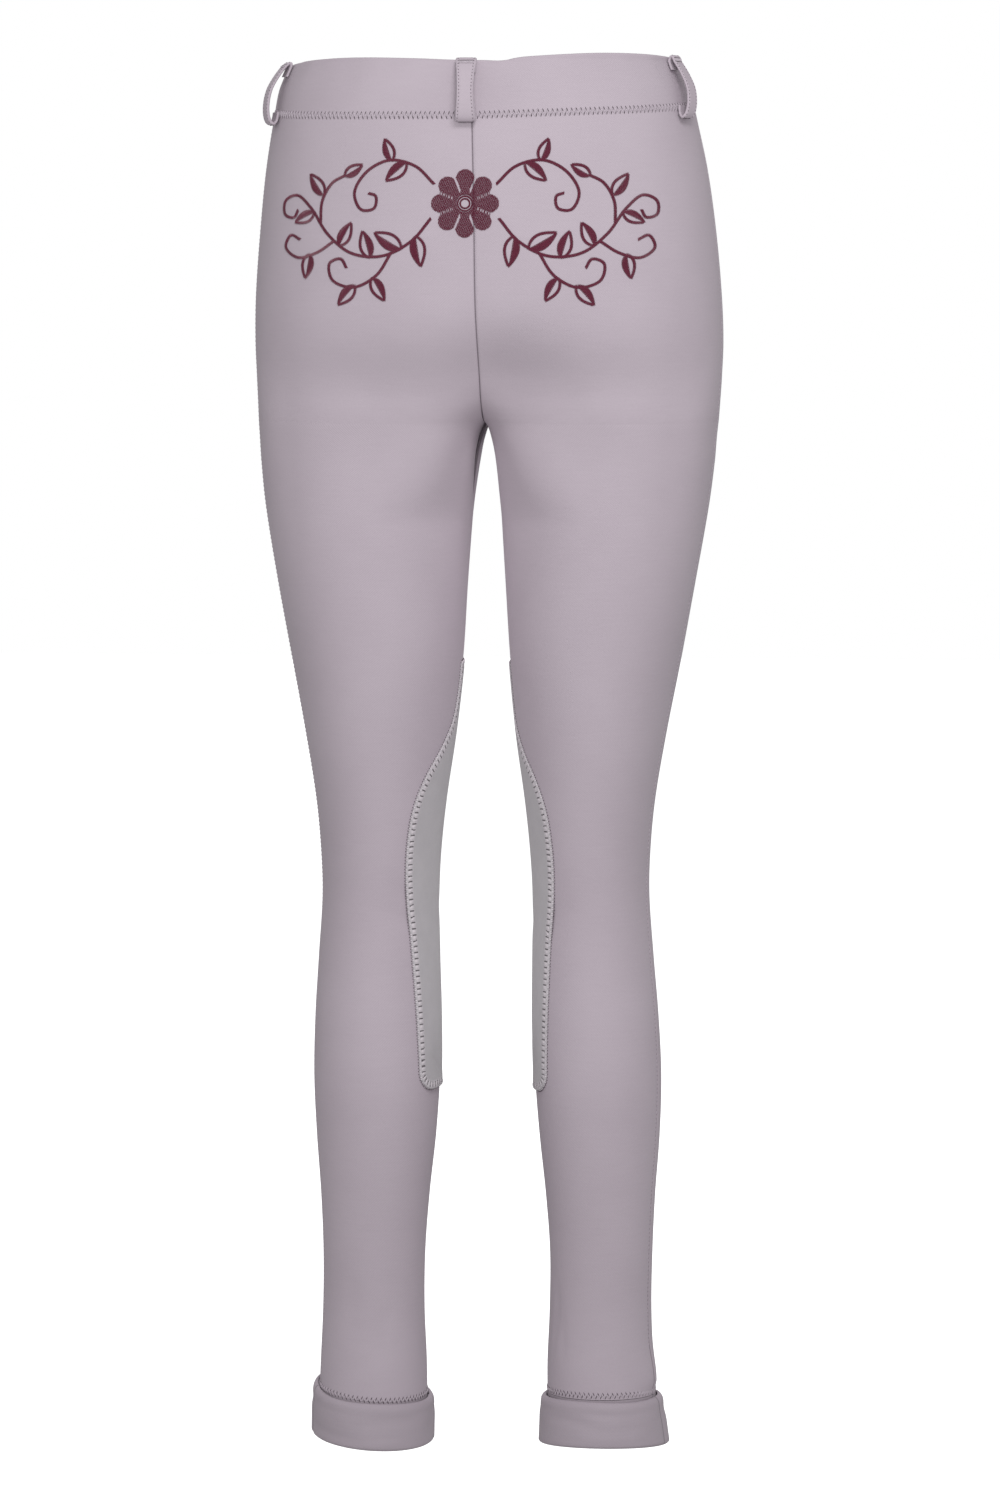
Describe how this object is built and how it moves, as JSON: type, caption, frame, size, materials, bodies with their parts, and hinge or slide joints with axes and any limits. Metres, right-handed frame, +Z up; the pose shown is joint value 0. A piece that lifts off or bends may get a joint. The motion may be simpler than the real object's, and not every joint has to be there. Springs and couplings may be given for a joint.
{
  "type": "child's riding breeches, jodhpur cut",
  "caption": "Close-fitting pull-on riding breeches of stretch knit with shaped waistband, belt loops, sueded inner knee patches and turned-up ankles.",
  "frame": {"origin": "centre of the waist opening, halfway down the waistband, where the wearer holds the garment up", "axes": "+Z up out of the waist, -Y out of the garment's back, +X towards the wearer's right"},
  "size_m": [0.3075, 0.2066, 0.933],
  "materials": {
    "knit": "fine stretch knit, matt with a slight sheen",
    "suede": "sueded microfibre, matt"
  },
  "bodies": {
    "root": {"waistband_back": "knit", "waistband_front": "knit", "back_left": "knit", "back_right": "knit", "front_left": "knit", "front_right": "knit", "knee_patch_left": "suede", "knee_patch_right": "suede", "turn_up_left": "knit", "turn_up_right": "knit", "belt_loop_back": "knit", "belt_loop_left": "knit", "belt_loop_right": "knit"}
  },
  "joints": []
}
